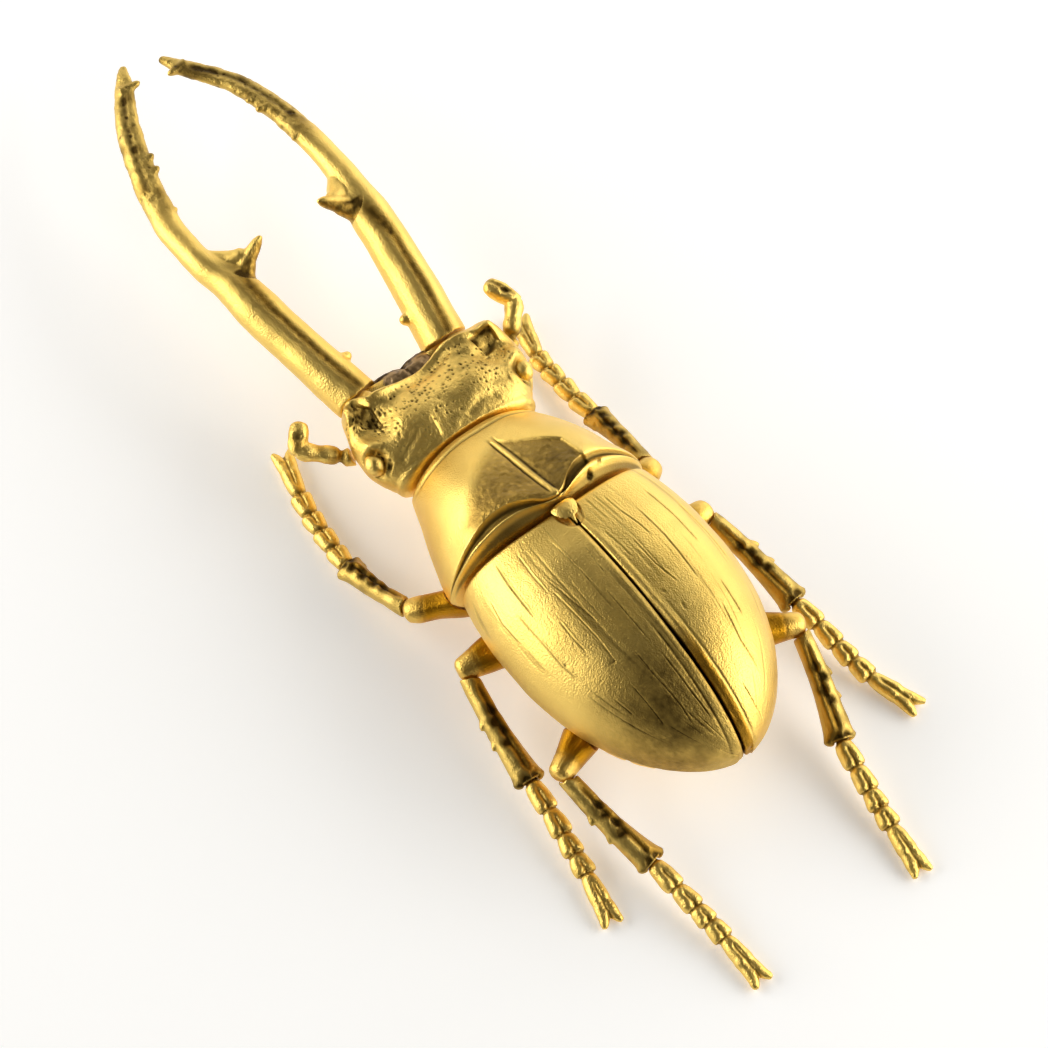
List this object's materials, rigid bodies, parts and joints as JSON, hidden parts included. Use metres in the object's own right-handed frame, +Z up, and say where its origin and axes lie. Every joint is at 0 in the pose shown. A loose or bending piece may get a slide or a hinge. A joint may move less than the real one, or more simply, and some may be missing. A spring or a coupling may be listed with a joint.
{
  "type": "stag beetle ornament",
  "caption": "Gilt cast stag beetle with long toothed jaws, standing on its feet as a desk or shelf ornament.",
  "frame": {"origin": "middle of the footprint, on the surface that the ornament stands on", "axes": "+Z up, the head faces -Y, the beetle's own left is +X"},
  "size_m": [0.048, 0.1408, 0.0222],
  "materials": {
    "gold": "burnished gold over cast brass, dark in the recesses",
    "dark_bronze": "dark patina, matt"
  },
  "bodies": {
    "root": {"belly": "gold", "breast": "gold", "eye_left": "gold", "eye_right": "gold", "feeler_left": "gold", "feeler_right": "gold", "foot_front_left": "gold", "foot_front_right": "gold", "foot_hind_left": "gold", "foot_hind_right": "gold", "foot_mid_left": "gold", "foot_mid_right": "gold", "head": "gold", "jaw_left": "gold", "jaw_right": "gold", "lip": "dark_bronze", "neck_shield": "gold", "scutellum": "gold", "shin_front_left": "gold", "shin_front_right": "gold", "shin_hind_left": "gold", "shin_hind_right": "gold", "shin_mid_left": "gold", "shin_mid_right": "gold", "thigh_front_left": "gold", "thigh_front_right": "gold", "thigh_hind_left": "gold", "thigh_hind_right": "gold", "thigh_mid_left": "gold", "thigh_mid_right": "gold", "wing_case_left": "gold", "wing_case_right": "gold"}
  },
  "joints": []
}
